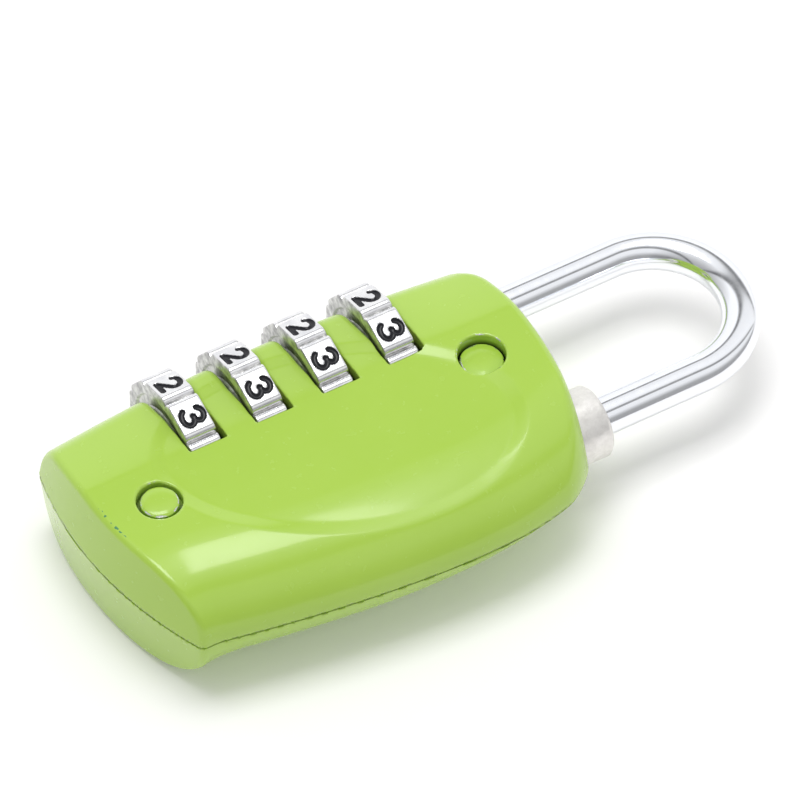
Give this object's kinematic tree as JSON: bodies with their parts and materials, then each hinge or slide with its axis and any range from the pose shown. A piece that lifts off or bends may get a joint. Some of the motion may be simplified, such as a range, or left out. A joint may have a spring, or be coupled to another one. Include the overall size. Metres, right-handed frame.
{
  "type": "luggage combination padlock",
  "caption": "Luggage padlock with numbered dials turning on the long leg of a round chromed shackle, in a riveted painted case.",
  "frame": {"origin": "middle of the lock's bounding box on the surface that its back lies on", "axes": "+X along the lock towards the shackle, +Y towards the side the dials stick out of, +Z out of the front face"},
  "size_m": [0.0749, 0.0344, 0.0159],
  "materials": {
    "green_paint": "glossy lime-green enamel on die-cast zinc",
    "polished_zinc": "polished plated zinc with black-filled engraved digits",
    "chrome": "bright chrome plate on steel rod",
    "dull_nickel": "dull nickel plate, slightly grainy",
    "brass": "machined brass",
    "spring_steel": "bare spring steel"
  },
  "bodies": {
    "case": {"front_shell": "green_paint", "rear_shell": "green_paint", "lower_rivet": "green_paint", "upper_rivet": "green_paint", "shackle_socket_bush": "dull_nickel", "spindle_bush": "dull_nickel", "detent_spring": "spring_steel", "reset_spring": "spring_steel", "thrust_washer": "spring_steel"},
    "shackle": {"shackle": "chrome"},
    "dial_1": {"dial_wheel_1": "polished_zinc"},
    "sleeve_1": {"code_sleeve_1": "brass"},
    "dial_2": {"dial_wheel_2": "polished_zinc"},
    "sleeve_2": {"code_sleeve_2": "brass"},
    "dial_3": {"dial_wheel_3": "polished_zinc"},
    "sleeve_3": {"code_sleeve_3": "brass"},
    "dial_4": {"dial_wheel_4": "polished_zinc"},
    "sleeve_4": {"code_sleeve_4": "brass"}
  },
  "joints": [
    {"name": "shackle_lift", "type": "slide", "parent": "case", "child": "shackle", "axis": [1, 0, 0], "range_m": [0, 0.00747]},
    {"name": "dial_1_turn", "type": "hinge", "parent": "case", "child": "dial_1", "pos_m": [-0.02424, 0.00957, 0.0081], "axis": [1, 0, 0], "continuous": true},
    {"name": "dial_2_turn", "type": "hinge", "parent": "case", "child": "dial_2", "pos_m": [-0.01677, 0.00957, 0.0081], "axis": [1, 0, 0], "continuous": true},
    {"name": "dial_3_turn", "type": "hinge", "parent": "case", "child": "dial_3", "pos_m": [-0.0093, 0.00957, 0.0081], "axis": [1, 0, 0], "continuous": true},
    {"name": "dial_4_turn", "type": "hinge", "parent": "case", "child": "dial_4", "pos_m": [-0.00183, 0.00957, 0.0081], "axis": [1, 0, 0], "continuous": true},
    {"name": "sleeve_1_reset", "type": "slide", "parent": "dial_1", "child": "sleeve_1", "axis": [-1, 0, 0], "range_m": [0, 0.001], "stiffness_N_per_m": 300, "springref_m": -0.001},
    {"name": "sleeve_2_reset", "type": "slide", "parent": "dial_2", "child": "sleeve_2", "axis": [-1, 0, 0], "range_m": [0, 0.001]},
    {"name": "sleeve_3_reset", "type": "slide", "parent": "dial_3", "child": "sleeve_3", "axis": [-1, 0, 0], "range_m": [0, 0.001]},
    {"name": "sleeve_4_reset", "type": "slide", "parent": "dial_4", "child": "sleeve_4", "axis": [-1, 0, 0], "range_m": [0, 0.001]}
  ],
  "couplings": [
    {"joint": "sleeve_2_reset", "follows": "sleeve_1_reset", "ratio": 1},
    {"joint": "sleeve_3_reset", "follows": "sleeve_1_reset", "ratio": 1},
    {"joint": "sleeve_4_reset", "follows": "sleeve_1_reset", "ratio": 1}
  ]
}
